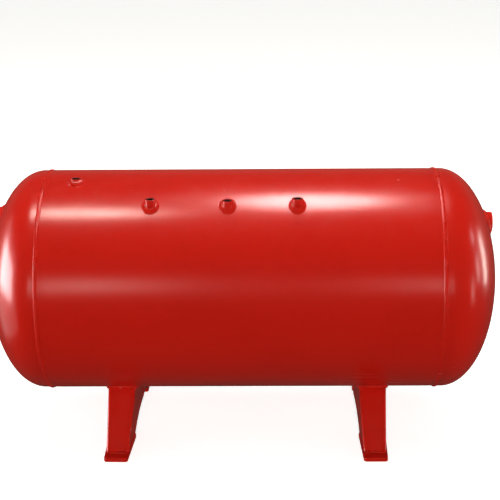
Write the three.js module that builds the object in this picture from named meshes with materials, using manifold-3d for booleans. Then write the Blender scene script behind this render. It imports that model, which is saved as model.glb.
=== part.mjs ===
// Horizontal air receiver tank: a rolled shell with two dished heads, welded sockets and two
// saddle supports, each folded from a front leg and a rear leg that meet under the belly.
// Millimetres. +X runs along the tank, -Y is the side the top sockets lean towards, +Z is up.
// The origin is on the floor, under the middle of the tank.
import * as THREE from 'three';
import { ConvexGeometry } from 'three/addons/geometries/ConvexGeometry.js';
import { mergeVertices } from 'three/addons/utils/BufferGeometryUtils.js';
import Module from 'manifold-3d';

const wasm = await Module();
wasm.setup();

// Vessel
const tankDiameter = 450;
const wall = 4;
const seamToSeam = 785;          // from one girth weld to the other
const headFlange = 12;           // straight skirt between a girth weld and the dished part
const headDepthPerRadius = 0.5;  // a 2:1 elliptical head
const bellyClearance = 85;       // floor to the underside of the shell
const clearance = 0.3;           // left between pieces that touch
const rightSeam = seamToSeam / 2;
const leftSeam = -rightSeam;

// Welds
const rootGap = 3;               // open gap that a butt weld fills
const girthCapWidth = 10;
const girthCapHeight = 1.8;
const longCapWidth = 8;
const longCapHeight = 1.4;
const longSeamTurn = 67.5;       // degrees from the top of the tank towards its back
const capShoulder = 0.6;         // share of a cap's half width where its flanks meet its crest
const capShoulderRise = 0.75;    // share of a cap's height reached there
const backingInset = 1;          // a backing ring stops this short of the dished part
const backingThickness = 3;

// Threaded sockets, bored to the thread's tapping size
const smallSocket = { outer: 22, bore: 15.2, length: 30, weldLeg: 7 };
const endSocket = { outer: 42, bore: 30.3, length: 40, weldLeg: 5.5 };
const outerChamfer = 0.6;
const boreChamfer = 1;
const weldBelowMouth = 0.8;      // a socket's weld stops this far below its mouth
const topSockets = [
  { name: 'service_socket', x: leftSeam + 63.5, y: -46, rise: 7 },
  { name: 'gauge_socket', x: -175.5, y: -120, rise: 15 },
  { name: 'switch_socket', x: -25, y: -120, rise: 11.5 },
  { name: 'relief_socket', x: 111, y: -120, rise: 15 },
];
const drainX = -110;
const drainRise = 11;
const endSockets = [
  { name: 'left_end_socket', side: -1, height: 134 },
  { name: 'right_end_socket', side: 1, height: 118 },
];
const endSocketSetback = 8;      // its mouth stops this far short of the crown of the head

// Saddle supports
const supports = [
  { name: 'left', x: leftSeam + 146, askew: -1.5 },  // degrees that it is turned about the vertical
  { name: 'right', x: rightSeam - 126.5, askew: 0 },
];
const legPlate = 4;
const legTopWidth = 56;
const legFootWidth = 45;
const legTopTurn = 26;           // degrees from the bottom of the tank to the top of a leg's face
const legSplay = 45;             // degrees between a leg's face and the vertical
const legFlare = 4;              // how far the webs stand wider at the middle than at the face
const webDepth = 45;             // depth of the webs under the middle of the belly
const footLength = 86;           // length of a leg's webs where they stand on the sole
const legWeldLeg = 5;
const joinWeldWidth = 6;
const joinWeldHeight = 1.5;
const soleThickness = 8;
const soleToe = 26;              // sole that shows in front of the leg
const soleHeel = 4;
const soleMargin = 1.5;          // sole that shows beside the leg
const soleCorner = 6;
const soleWeldLeg = 3;
const boltHole = 12;
const boltFromToe = 72;

// Smoothness
const shellFacets = 48;
const socketFacets = 24;
const headSteps = 9;
const archSteps = 6;
const cornerSteps = 4;
const mergeDistance = 1e-4;      // points closer than this become one
const overrun = 1;               // how far a cutter goes past what it cuts

// Sizes that follow from the ones above
const radius = tankDiameter / 2;
const axisHeight = radius + bellyClearance;
const headDepth = radius * headDepthPerRadius;
const crownX = seamToSeam / 2 + headFlange + headDepth;
const rootHalf = rootGap / 2 - clearance;
const legFootZ = -(axisHeight - soleThickness) + clearance;
const legTopAngle = THREE.MathUtils.degToRad(legTopTurn);
const legSplayAngle = THREE.MathUtils.degToRad(legSplay);
const legTop = new THREE.Vector2(-radius * Math.sin(legTopAngle), -radius * Math.cos(legTopAngle));
const legFootY = legTop.x - (legTop.y - legFootZ) * Math.tan(legSplayAngle);
const flareSlope = legFlare / -legTop.x;
const archHalf = -legFootY - footLength;
const archCrownZ = -(radius + webDepth);

const redEnamel = { color: 0xc4160c, roughness: 0.22, metalness: 0.0 };
const weldEnamel = { color: 0xb81409, roughness: 0.3, metalness: 0.0 };
const millSteel = { color: 0x6d6a68, roughness: 0.6, metalness: 1.0 };

const vessel = new THREE.Group();
vessel.position.z = axisHeight;  // everything below is placed from the tank's axis

// Solids and meshes

function toSolid(geometry) {
  geometry.deleteAttribute('normal');
  geometry.deleteAttribute('uv');
  const merged = mergeVertices(geometry, mergeDistance);
  return new wasm.Manifold(new wasm.Mesh({
    numProp: 3,
    vertProperties: new Float32Array(merged.attributes.position.array),
    triVerts: new Uint32Array(merged.index.array),
  }));
}

function toGeometry(solid) {
  const mesh = solid.getMesh();
  const geometry = new THREE.BufferGeometry();
  geometry.setAttribute('position', new THREE.BufferAttribute(mesh.vertProperties, 3));
  geometry.setIndex(new THREE.BufferAttribute(mesh.triVerts, 1));
  geometry.computeVertexNormals();
  return geometry;
}

function addPiece(name, solid, finish) {
  const mesh = new THREE.Mesh(toGeometry(solid), new THREE.MeshStandardMaterial(finish));
  mesh.name = name;
  vessel.add(mesh);
  return mesh;
}

// Turns a profile of [radius, distance along the axis] into a solid round +X.
function turnedAlongX(profile, facets) {
  const points = profile.map(([r, x]) => new THREE.Vector2(r, x));
  return toSolid(new THREE.LatheGeometry(points, facets).rotateZ(-Math.PI / 2));
}

function rodAlongX(rodRadius, fromX, toX, facets) {
  return turnedAlongX([[0, fromX], [rodRadius, fromX], [rodRadius, toX], [0, toX]], facets);
}

function rodAlongZ(rodRadius, fromZ, toZ, facets) {
  const rod = new THREE.CylinderGeometry(rodRadius, rodRadius, toZ - fromZ, facets);
  return toSolid(rod.rotateX(Math.PI / 2).translate(0, 0, (fromZ + toZ) / 2));
}

function block(sizeX, sizeY, sizeZ, x, y, z) {
  return toSolid(new THREE.BoxGeometry(sizeX, sizeY, sizeZ).translate(x, y, z));
}

// Extrudes a shape drawn in (y, z) by a width centred on x = 0.
function plateAlongX(shape, width) {
  const basis = new THREE.Matrix4().makeBasis(
    new THREE.Vector3(0, 1, 0), new THREE.Vector3(0, 0, 1), new THREE.Vector3(1, 0, 0));
  const options = { depth: width, bevelEnabled: false, curveSegments: archSteps };
  return toSolid(new THREE.ExtrudeGeometry(shape, options).translate(0, 0, -width / 2).applyMatrix4(basis));
}

// Extrudes a shape drawn in (x, z) by a width centred on y = 0.
function plateAlongY(shape, width) {
  const basis = new THREE.Matrix4().makeBasis(
    new THREE.Vector3(1, 0, 0), new THREE.Vector3(0, 0, 1), new THREE.Vector3(0, -1, 0));
  const options = { depth: width, bevelEnabled: false };
  return toSolid(new THREE.ExtrudeGeometry(shape, options).translate(0, 0, -width / 2).applyMatrix4(basis));
}

// Shell and heads

function shellRod(grow) {
  return rodAlongX(radius + grow, -seamToSeam / 2, seamToSeam / 2, shellFacets);
}

function turnToLongSeam(solid) {
  return solid.rotate([-longSeamTurn, 0, 0]);
}

function addShell() {
  const half = seamToSeam / 2 - rootGap / 2;
  let shell = rodAlongX(radius, -half, half, shellFacets)
    .subtract(rodAlongX(radius - wall, -half - overrun, half + overrun, shellFacets));
  const slot = block(seamToSeam, rootGap, wall + 2 * overrun, 0, 0, radius - wall / 2);
  shell = shell.subtract(turnToLongSeam(slot));
  const holeRadius = smallSocket.outer / 2 + clearance;
  for (const socket of topSockets) {
    const hole = rodAlongZ(holeRadius, 0, radius + wall, socketFacets);
    shell = shell.subtract(hole.translate([socket.x, socket.y, 0]));
  }
  const drainHole = rodAlongZ(holeRadius, -radius - wall, 0, socketFacets);
  shell = shell.subtract(drainHole.translate([drainX, 0, 0]));
  addPiece('shell', shell, redEnamel);
}

// Outline of a dished head from its crown to its rim, as [radius, x] with x measured outwards.
function headOutline(grow) {
  const outline = [];
  for (let step = 0; step <= headSteps; step += 1) {
    const turn = (step / headSteps) * Math.PI / 2;
    outline.push([(radius + grow) * Math.sin(turn), headFlange + (headDepth + grow) * Math.cos(turn)]);
  }
  return outline;
}

// A solid head, from the girth weld outwards, grown by a distance on its outside.
function headSolid(grow) {
  const outline = headOutline(grow).reverse();
  return turnedAlongX([[0, 0], [radius + grow, 0], ...outline.slice(0, -1), [0, outline.at(-1)[1]]],
    shellFacets);
}

function addHead(name, side, socketHeight) {
  const rim = rootGap / 2;
  const outside = headOutline(0).reverse().slice(0, -1);
  const inside = headOutline(-wall).slice(1);
  const crown = headFlange + headDepth;
  let head = turnedAlongX(
    [[0, crown - wall], ...inside, [radius - wall, rim], [radius, rim], ...outside, [0, crown]],
    shellFacets);
  const hole = rodAlongX(endSocket.outer / 2 + clearance, 0, crown + wall, socketFacets);
  head = head.subtract(hole.translate([0, 0, socketHeight]));
  placeOnSide(addPiece(name, head, redEnamel), side);
}

// Pieces at the ends are drawn with +X outwards; the left ones are turned half round about Z.
function placeOnSide(mesh, side) {
  mesh.position.x = side * seamToSeam / 2;
  mesh.rotation.z = side > 0 ? 0 : Math.PI;
}

function addGirthWeld(name, side) {
  const cap = girthCapWidth / 2;
  const base = radius + clearance;
  const profile = [[radius - wall, -rootHalf], [base, -rootHalf], [base, -cap],
    [base + girthCapHeight * capShoulderRise, -cap * capShoulder], [base + girthCapHeight, 0],
    [base + girthCapHeight * capShoulderRise, cap * capShoulder], [base, cap], [base, rootHalf],
    [radius - wall, rootHalf], [radius - wall, -rootHalf]];
  placeOnSide(addPiece(name, turnedAlongX(profile, shellFacets), weldEnamel), side);
}

function addBackingRing(name, side) {
  const outer = radius - wall - clearance;
  const half = headFlange - backingInset;
  const ring = rodAlongX(outer, -half, half, shellFacets)
    .subtract(rodAlongX(outer - backingThickness, -half - overrun, half + overrun, shellFacets));
  placeOnSide(addPiece(name, ring, millSteel), side);
}

function addLongSeamWeld() {
  const base = radius + clearance;
  const root = radius - wall;
  const cap = longCapWidth / 2;
  const shape = new THREE.Shape([[-rootHalf, root], [rootHalf, root], [rootHalf, base], [cap, base],
    [cap * capShoulder, base + longCapHeight * capShoulderRise], [0, base + longCapHeight],
    [-cap * capShoulder, base + longCapHeight * capShoulderRise], [-cap, base], [-rootHalf, base]]
    .map(([y, z]) => new THREE.Vector2(y, z)));
  const length = seamToSeam - girthCapWidth - 2 * clearance;
  addPiece('long_seam_weld', turnToLongSeam(plateAlongX(shape, length)), weldEnamel);
}

// Sockets

// A socket round +Z with its mouth at z = 0, bored right through.
function socketSolid({ outer, bore, length }) {
  const outerRadius = outer / 2;
  const boreRadius = bore / 2;
  const points = [[boreRadius, -length], [outerRadius, -length], [outerRadius, -outerChamfer],
    [outerRadius - outerChamfer, 0], [boreRadius + boreChamfer, 0], [boreRadius, -boreChamfer],
    [boreRadius, -length]].map(([r, z]) => new THREE.Vector2(r, z));
  return toSolid(new THREE.LatheGeometry(points, socketFacets).rotateX(Math.PI / 2));
}

// A fillet weld round a socket: what lies between two grown copies of the wall it goes through.
function collarSolid({ outer, weldLeg }, wallGrown, wallCleared, mouth) {
  return rodAlongZ(outer / 2 + weldLeg, 0, mouth - weldBelowMouth, socketFacets)
    .subtract(rodAlongZ(outer / 2 + clearance, -overrun, mouth + overrun, socketFacets))
    .intersect(wallGrown)
    .subtract(wallCleared);
}

// A socket that stands upright on the shell, off to one side by y.
function addUprightSocket({ name, x, y, rise }, upsideDown) {
  const mouth = Math.sqrt(radius ** 2 - y ** 2) + rise;
  const toSocket = [0, -y, 0];
  const collar = collarSolid(smallSocket, shellRod(smallSocket.weldLeg).translate(toSocket),
    shellRod(clearance).translate(toSocket), mouth);
  const body = addPiece(name, socketSolid(smallSocket).translate([0, 0, mouth]), redEnamel);
  const weld = addPiece(`${name}_weld`, collar, weldEnamel);
  for (const mesh of [body, weld]) {
    mesh.position.set(x, y, 0);
    mesh.rotation.x = upsideDown ? Math.PI : 0;
  }
}

// A socket that lies along X, through a head.
function addEndSocket({ name, side, height }) {
  const mouth = crownX - seamToSeam / 2 - endSocketSetback;
  const layDown = (solid) => solid.rotate([0, 90, 0]).translate([0, 0, height]);
  const standUp = (solid) => solid.translate([0, 0, -height]).rotate([0, -90, 0]);
  const collar = collarSolid(endSocket, standUp(headSolid(endSocket.weldLeg)),
    standUp(headSolid(clearance)), mouth);
  placeOnSide(addPiece(name, layDown(socketSolid(endSocket).translate([0, 0, mouth])), redEnamel), side);
  placeOnSide(addPiece(`${name}_weld`, layDown(collar), weldEnamel), side);
}

// Supports

function legFaceY(z) {
  return legTop.x - (legTop.y - z) * Math.tan(legSplayAngle);
}

// Half the leg's width at a height, where the webs are at y: they stand wider behind the face.
function legHalfWidth(z, y) {
  const share = (legTop.y - z) / (legTop.y - legFootZ);
  return THREE.MathUtils.lerp(legTopWidth, legFootWidth, share) / 2 + flareSlope * (y - legFaceY(z));
}

// A bar that is as wide as the leg at every height and depth, grown or shrunk on both sides.
function legTaper(grow) {
  const corners = [];
  for (const z of [legTop.y + radius, legFootZ - radius / 4]) {
    for (const y of [legFootY - radius / 4, radius / 4]) {
      const half = legHalfWidth(z, y) + grow;
      corners.push(new THREE.Vector3(-half, y, z), new THREE.Vector3(half, y, z));
    }
  }
  return toSolid(new ConvexGeometry(corners));
}

// The filled side view of a front leg, from its sloping face to the middle of the belly.
function legBlank(grow) {
  const faceStep = grow / Math.cos(legSplayAngle);
  const archRise = archCrownZ - legFootZ;
  const archRadius = (archHalf ** 2 + archRise ** 2) / (2 * archRise);
  const archAngle = Math.asin(archHalf / archRadius);
  const shape = new THREE.Shape();
  shape.moveTo(0, legTop.y + (faceStep - legTop.x) / Math.tan(legSplayAngle));
  shape.lineTo(legFootY - faceStep, legFootZ);
  shape.absarc(0, archCrownZ - archRadius, archRadius, Math.PI / 2 + archAngle, Math.PI / 2, true);
  const middleCut = block(radius * 2, clearance, radius * 4, 0, 0, 0);
  return plateAlongX(shape, radius).intersect(legTaper(grow)).subtract(middleCut);
}

function legHollow() {
  const faceStep = legPlate / Math.cos(legSplayAngle);
  const shape = new THREE.Shape([
    new THREE.Vector2(legFootY + faceStep - radius * Math.tan(legSplayAngle), legFootZ - radius),
    new THREE.Vector2(radius, legFootZ - radius), new THREE.Vector2(radius, 0),
    new THREE.Vector2(legTop.x - legTop.y * Math.tan(legSplayAngle) + faceStep, 0)]);
  return plateAlongX(shape, radius).intersect(legTaper(-legPlate));
}

// The sole plate: a little wider than the leg all the way back, with round corners and a bolt hole.
function soleSolid() {
  const toeY = legFootY - soleToe;
  const heelY = legFootY + footLength + soleHeel;
  const top = legFootZ - clearance;
  const rims = [];
  for (const [y, inwards] of [[toeY, 1], [heelY, -1]]) {
    const half = legHalfWidth(legFootZ, Math.max(y, legFootY)) + soleMargin - soleCorner;
    for (const side of [-1, 1]) {
      for (let step = 0; step <= cornerSteps; step += 1) {
        const turn = (step / cornerSteps) * Math.PI / 2;
        const x = side * (half + soleCorner * Math.cos(turn));
        const edge = y + inwards * soleCorner * (1 - Math.sin(turn));
        rims.push(new THREE.Vector3(x, edge, top), new THREE.Vector3(x, edge, top - soleThickness));
      }
    }
  }
  const hole = rodAlongZ(boltHole / 2, top - soleThickness - overrun, top + overrun, socketFacets);
  return toSolid(new ConvexGeometry(rims)).subtract(hole.translate([0, toeY + boltFromToe, 0]));
}

function addLegPieces(support) {
  const shellAbove = (grow) => shellRod(grow).rotate([0, 0, -support.askew]);
  const room = shellAbove(clearance);
  const leg = legBlank(0).subtract(legHollow()).subtract(room);
  const legWeld = legBlank(legWeldLeg).intersect(shellAbove(legWeldLeg)).subtract(room)
    .subtract(legBlank(clearance)).subtract(block(radius, 2 * clearance, radius * 4, 0, 0, 0));
  const soleWeldRoom = block(legFootWidth, soleToe, soleWeldLeg,
    0, legFootY - soleToe / 2, legFootZ + soleWeldLeg / 2);
  const soleWeld = legBlank(soleWeldLeg).intersect(soleWeldRoom).subtract(legBlank(clearance));
  const sole = soleSolid();
  for (const [end, turn] of [['front', 0], ['rear', Math.PI]]) {
    const prefix = `${support.name}_${end}`;
    for (const mesh of [
      addPiece(`${prefix}_leg`, leg, redEnamel),
      addPiece(`${prefix}_leg_weld`, legWeld, weldEnamel),
      addPiece(`${prefix}_sole`, sole, redEnamel),
      addPiece(`${prefix}_sole_weld`, soleWeld, weldEnamel)]) {
      mesh.position.x = support.x;
      mesh.rotation.z = turn + THREE.MathUtils.degToRad(support.askew);
    }
  }
}

// The butt weld between a support's front and rear leg, on the outside of one web.
function addJoinWeld(support, side, where) {
  const top = -(radius + legWeldLeg + joinWeldHeight);
  const bottom = archCrownZ + joinWeldHeight;
  const inner = (z) => side * (legHalfWidth(z, 0) + clearance);
  const outer = (z) => inner(z) + side * joinWeldHeight;
  const corners = [[inner(top), top], [inner(bottom), bottom], [outer(bottom), bottom], [outer(top), top]];
  const ordered = side > 0 ? corners : corners.reverse();
  const shape = new THREE.Shape(ordered.map(([x, z]) => new THREE.Vector2(x, z)));
  const weld = addPiece(`${support.name}_${where}_join_weld`, plateAlongY(shape, joinWeldWidth), weldEnamel);
  weld.position.x = support.x;
  weld.rotation.z = THREE.MathUtils.degToRad(support.askew);
}

addShell();
addLongSeamWeld();
for (const [name, side, socket] of [['left', -1, endSockets[0]], ['right', 1, endSockets[1]]]) {
  addHead(`${name}_head`, side, socket.height);
  addGirthWeld(`${name}_girth_weld`, side);
  addBackingRing(`${name}_backing_ring`, side);
}
for (const socket of topSockets) addUprightSocket(socket, false);
addUprightSocket({ name: 'drain_socket', x: drainX, y: 0, rise: drainRise }, true);
for (const socket of endSockets) addEndSocket(socket);
for (const support of supports) {
  addLegPieces(support);
  addJoinWeld(support, -1, 'left');
  addJoinWeld(support, 1, 'right');
}

const airReceiver = new THREE.Group();
airReceiver.add(vessel);
export default airReceiver;
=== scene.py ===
# Horizontal air receiver tank in glossy red enamel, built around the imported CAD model.
# Everything is in metres: +X along the tank, -Y the front, +Z up, floor at z = 0.
import math

import bmesh
import bpy
from mathutils import Matrix, Vector, noise


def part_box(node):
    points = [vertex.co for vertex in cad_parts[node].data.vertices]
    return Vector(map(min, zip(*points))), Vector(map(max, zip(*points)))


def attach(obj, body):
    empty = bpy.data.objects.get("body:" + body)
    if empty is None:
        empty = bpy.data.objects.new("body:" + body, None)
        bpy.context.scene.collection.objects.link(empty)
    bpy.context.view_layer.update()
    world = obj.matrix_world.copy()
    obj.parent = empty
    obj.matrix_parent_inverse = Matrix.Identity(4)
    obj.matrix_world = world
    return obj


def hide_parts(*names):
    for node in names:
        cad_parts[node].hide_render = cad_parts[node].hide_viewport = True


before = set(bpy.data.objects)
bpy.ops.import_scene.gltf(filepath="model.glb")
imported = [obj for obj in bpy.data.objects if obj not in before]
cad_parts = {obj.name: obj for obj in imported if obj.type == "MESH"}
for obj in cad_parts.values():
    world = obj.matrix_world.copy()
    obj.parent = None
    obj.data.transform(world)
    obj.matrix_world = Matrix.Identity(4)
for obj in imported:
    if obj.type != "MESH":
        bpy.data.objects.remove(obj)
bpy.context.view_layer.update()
print("frame loaded:", len(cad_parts), "nodes")

# sizes read from the frame
shellLow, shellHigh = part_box("shell")
radius = (shellHigh.z - shellLow.z) / 2
axisHeight = (shellHigh.z + shellLow.z) / 2
seams = {side: sum(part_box(side + "_girth_weld"), Vector()).x / 2 for side in ("left", "right")}
wall = 0.004
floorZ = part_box("left_front_sole")[0].z


class Value:
    # A socket in a node tree, so that shader maths reads as plain expressions.
    def __init__(self, tree, socket):
        self.tree = tree
        self.socket = socket

    def math(self, operation, *others):
        inputs = {0: self}
        for index, other in enumerate(others):
            inputs[index + 1] = other
        return self.tree.node("ShaderNodeMath", {"operation": operation}, inputs).out(0)

    def reflected(self, operation, other):
        return self.tree.node("ShaderNodeMath", {"operation": operation}, {0: other, 1: self}).out(0)

    def __add__(self, other):
        return self.math("ADD", other)

    def __radd__(self, other):
        return self.reflected("ADD", other)

    def __sub__(self, other):
        return self.math("SUBTRACT", other)

    def __rsub__(self, other):
        return self.reflected("SUBTRACT", other)

    def __mul__(self, other):
        return self.math("MULTIPLY", other)

    def __rmul__(self, other):
        return self.reflected("MULTIPLY", other)

    def above(self, low, high):
        # 0 below low, 1 above high, with a smooth change between
        ramp = self.tree.node("ShaderNodeMapRange", {"interpolation_type": "SMOOTHSTEP"},
                              {"Value": self, "From Min": low, "From Max": high})
        return ramp.out(0)


class NodeOutputs:
    def __init__(self, tree, node):
        self.tree = tree
        self.made = node

    def out(self, key):
        return Value(self.tree, self.made.outputs[key])


class ShaderTree:
    def __init__(self, nodeTree):
        self.nodeTree = nodeTree
        nodeTree.nodes.clear()

    def node(self, nodeType, settings=None, inputs=None):
        made = self.nodeTree.nodes.new(nodeType)
        for key, value in (settings or {}).items():
            if key == "stops":
                self.setStops(made.color_ramp, value)
            else:
                setattr(made, key, value)
        for key, value in (inputs or {}).items():
            if isinstance(value, Value):
                self.nodeTree.links.new(value.socket, made.inputs[key])
            else:
                made.inputs[key].default_value = value
        return NodeOutputs(self, made)

    def setStops(self, ramp, stops):
        while len(ramp.elements) < len(stops):
            ramp.elements.new(0.5)
        for element, (position, colour) in zip(ramp.elements, stops):
            element.position = position
            element.color = (*colour, 1)

    def blend(self, first, second, factor):
        # mixes two colours
        mixed = self.node("ShaderNodeMix", {"data_type": "RGBA"}, {0: factor, 6: first, 7: second})
        return mixed.out(2)

    def place(self):
        return self.node("ShaderNodeTexCoord").out("Object")

    def stretched(self, scale, turn=(0, 0, 0)):
        mapped = self.node("ShaderNodeMapping", {}, {
            "Vector": self.place(), "Scale": scale, "Rotation": turn})
        return mapped.out(0)

    def noise(self, scale, detail=2.0, where=None, roughness=0.5):
        made = self.node("ShaderNodeTexNoise", {}, {
            "Vector": where or self.place(), "Scale": scale, "Detail": detail, "Roughness": roughness})
        return made.out(0)


def newMaterial(name):
    material = bpy.data.materials.new(name)
    material.use_nodes = True
    return material, ShaderTree(material.node_tree)


def opaque(colour):
    return (*colour, 1)


enamel = {
    "red": (0.74, 0.0135, 0.0055),
    "thinRed": (0.66, 0.0110, 0.0045),
    "primer": (0.10, 0.085, 0.08),
    "dust": (0.42, 0.30, 0.26),
    "roughness": 0.2,
    "specular": 0.5,
    "cloudSize": 5.5,      # all sizes of patterns are in cells per metre
    "fineSize": 60,
    "thinRange": (0.42, 0.72),
    "thinShare": 0.5,      # how far thin places turn to the thin red
    "thinOnWelds": 0.3,
    "dustSize": 34,
    "dustRange": (0.35, 0.8),
    "dustSlope": (0.35, 1.0),
    "dustAmount": 0.025,
    "dustRoughness": 1.4,
    "chipSize": 240,
    "chipRange": (0.66, 0.68),
    "chipHeights": (0.004, 0.014),  # chips are full below the first height and gone above the second
    "scratchSize": 9.0,
    "scratchStretch": (1.0, 26.0, 26.0),
    "scratchTurn": (0.3, 0.2, 0.1),
    "scratchRange": (0.71, 0.74),
    "scuffSize": 3.1,
    "scuffRange": (0.55, 0.7),
    "scuffRoughness": 0.16,
    "mottleSize": 18,
    "mottleRoughness": 0.07,
    "weldRoughness": 0.05,
    "peelSize": 520,       # orange peel
    "peelDepth": 0.00002,
    "sagSize": 46,
    "sagStretch": (1.0, 1.0, 0.35),
    "sagDepth": 2.2,       # against the peel, as is the speck's
    "speckSize": 95,
    "speckReach": 0.055,
    "speckPatches": 11,
    "speckRange": (0.5, 0.65),
    "speckDepth": 2.4,
}


def redEnamel(name, build):
    # build: how heavy the paint lies, 1 on open plate and less over weld ripples
    material, tree = newMaterial(name)
    cloud = tree.noise(enamel["cloudSize"], 4.0)
    fine = tree.noise(enamel["fineSize"], 3.0)
    thin = (cloud * 0.7 + fine * 0.3).above(*enamel["thinRange"])
    thinning = thin * (enamel["thinShare"] + enamel["thinOnWelds"] * (1 - build))
    colour = tree.blend(opaque(enamel["red"]), opaque(enamel["thinRed"]), thinning)

    normal = tree.node("ShaderNodeNewGeometry").out("Normal")
    upward = tree.node("ShaderNodeSeparateXYZ", {}, {0: normal}).out(2)
    settled = tree.noise(enamel["dustSize"], 5.0, roughness=0.65).above(*enamel["dustRange"])
    dusty = upward.above(*enamel["dustSlope"]) * settled * enamel["dustAmount"]
    colour = tree.blend(colour, opaque(enamel["dust"]), dusty)

    height = tree.node("ShaderNodeSeparateXYZ", {}, {0: tree.place()}).out(2)
    nearFloor = 1 - height.above(*enamel["chipHeights"])
    chip = tree.noise(enamel["chipSize"], 3.0, roughness=0.6).above(*enamel["chipRange"])
    colour = tree.blend(colour, opaque(enamel["primer"]), chip * nearFloor)

    drawnOut = tree.stretched(enamel["scratchStretch"], enamel["scratchTurn"])
    scratches = tree.noise(enamel["scratchSize"], 2.0, drawnOut).above(*enamel["scratchRange"])
    scuff = scratches * tree.noise(enamel["scuffSize"], 1.0).above(*enamel["scuffRange"])
    mottled = tree.noise(enamel["mottleSize"], 4.0)
    rough = enamel["roughness"] + enamel["weldRoughness"] * (1 - build)
    rough = rough + enamel["mottleRoughness"] * mottled
    rough = rough + enamel["scuffRoughness"] * scuff + enamel["dustRoughness"] * dusty

    peel = tree.noise(enamel["peelSize"], 1.5)
    sag = tree.noise(enamel["sagSize"], 1.0, tree.stretched(enamel["sagStretch"]))
    cells = tree.node("ShaderNodeTexVoronoi", {"feature": "F1"}, {
        "Vector": tree.place(), "Scale": enamel["speckSize"]})
    speck = 1 - cells.out("Distance").above(0.0, enamel["speckReach"])
    speckled = tree.noise(enamel["speckPatches"], 1.0).above(*enamel["speckRange"])
    height = peel + sag * enamel["sagDepth"] + speck * enamel["speckDepth"] * speckled
    bump = tree.node("ShaderNodeBump", {}, {
        "Strength": 1.0, "Distance": enamel["peelDepth"], "Height": height})
    shader = tree.node("ShaderNodeBsdfPrincipled", {}, {
        "Base Color": colour, "Roughness": rough, "Normal": bump.out(0),
        "Specular IOR Level": enamel["specular"]})
    tree.node("ShaderNodeOutputMaterial", {}, {"Surface": shader.out(0)})
    return material


bareSteel = {
    "steel": (0.11, 0.060, 0.055),
    "scale": (0.035, 0.018, 0.018),
    "rust": (0.13, 0.040, 0.016),
    "scaleSize": 70,
    "scaleRange": (0.4, 0.62),
    "rustSize": 38,
    "rustRange": (0.56, 0.66),
    "rustAmount": 0.8,
    "rustDepth": 1.5,      # against the grain
    "roughness": 0.42,
    "scaleRoughness": 0.25,
    "rustRoughness": 0.2,
    "grainSize": 900,
    "grainDepth": 0.00004,
    "grainStrength": 0.6,
}


def rawSteel(name, metal):
    # hot-rolled steel under a patchy blue-grey scale, with a little rust
    material, tree = newMaterial(name)
    patches = tree.noise(bareSteel["scaleSize"], 5.0, roughness=0.6)
    worn = patches.above(*bareSteel["scaleRange"])
    colour = tree.blend(opaque(bareSteel["scale"]), opaque(bareSteel["steel"]), worn)
    rusty = tree.noise(bareSteel["rustSize"], 6.0, roughness=0.7).above(*bareSteel["rustRange"])
    colour = tree.blend(colour, opaque(bareSteel["rust"]), rusty * bareSteel["rustAmount"])
    rough = bareSteel["roughness"] + bareSteel["scaleRoughness"] * patches
    rough = rough + bareSteel["rustRoughness"] * rusty
    grain = tree.noise(bareSteel["grainSize"], 2.0, tree.stretched((1.0, 0.2, 1.0)))
    bump = tree.node("ShaderNodeBump", {}, {
        "Strength": bareSteel["grainStrength"], "Distance": bareSteel["grainDepth"],
        "Height": grain + rusty * bareSteel["rustDepth"]})
    shader = tree.node("ShaderNodeBsdfPrincipled", {}, {
        "Base Color": colour, "Roughness": rough, "Metallic": metal * (1 - rusty),
        "Normal": bump.out(0)})
    tree.node("ShaderNodeOutputMaterial", {}, {"Surface": shader.out(0)})
    return material


plateRed = redEnamel("plateEnamel", 1.0)
weldRed = redEnamel("weldEnamel", 0.4)
threadSteel = rawSteel("threadSteel", 0.9)
millSteel = rawSteel("millSteel", 0.8)
print("finishes made")


def finishMesh(mesh, sharpAngle):
    mesh.polygons.foreach_set("use_smooth", [True] * len(mesh.polygons))
    mesh.set_sharp_from_angle(angle=math.radians(sharpAngle))


def addPiece(name, points, faces, materials, sharpAngle=35, faceFinish=None, turnFacesOut=True):
    mesh = bpy.data.meshes.new(name)
    mesh.from_pydata([tuple(point) for point in points], [], faces)
    if turnFacesOut:
        shape = bmesh.new()
        shape.from_mesh(mesh)
        bmesh.ops.recalc_face_normals(shape, faces=shape.faces)
        shape.to_mesh(mesh)
        shape.free()
    for material in materials:
        mesh.materials.append(material)
    if faceFinish:
        mesh.polygons.foreach_set("material_index", faceFinish)
    finishMesh(mesh, sharpAngle)
    piece = bpy.data.objects.new(name, mesh)
    bpy.context.scene.collection.objects.link(piece)
    return piece


def addToFrame(piece, node):
    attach(piece, "root")
    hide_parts(node)
    return piece


def applyModifiers(piece, sharpAngle=35):
    shown = piece.evaluated_get(bpy.context.evaluated_depsgraph_get())
    mesh = bpy.data.meshes.new_from_object(shown)
    piece.modifiers.clear()
    piece.data = mesh
    finishMesh(mesh, sharpAngle)
    return piece


def bandFaces(rows, columns, closeRows, closeColumns):
    # quads between neighbouring rows of a grid of points, row after row
    faces = []
    for row in range(rows if closeRows else rows - 1):
        nextRow = (row + 1) % rows
        for column in range(columns if closeColumns else columns - 1):
            nextColumn = (column + 1) % columns
            faces.append((row * columns + column, row * columns + nextColumn,
                          nextRow * columns + nextColumn, nextRow * columns + column))
    return faces


def tipFaces(row, columns, tip):
    # triangles that close a round grid from one row to a point
    last = row * columns
    return [(last + column, last + (column + 1) % columns, tip) for column in range(columns)]


def sweep(rings, closed):
    # a closed outline at each station of a path, capped at its ends if the path is open
    columns = len(rings[0])
    points = [point for ring in rings for point in ring]
    faces = bandFaces(len(rings), columns, closed, True)
    if not closed:
        last = (len(rings) - 1) * columns
        faces.append(tuple(range(columns)))
        faces.append(tuple(last + index for index in reversed(range(columns))))
    return points, faces


def wander(value, seed):
    # slow random change between -1 and 1
    return noise.noise(Vector((value, seed * 7.31, seed * 1.77)))


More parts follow.
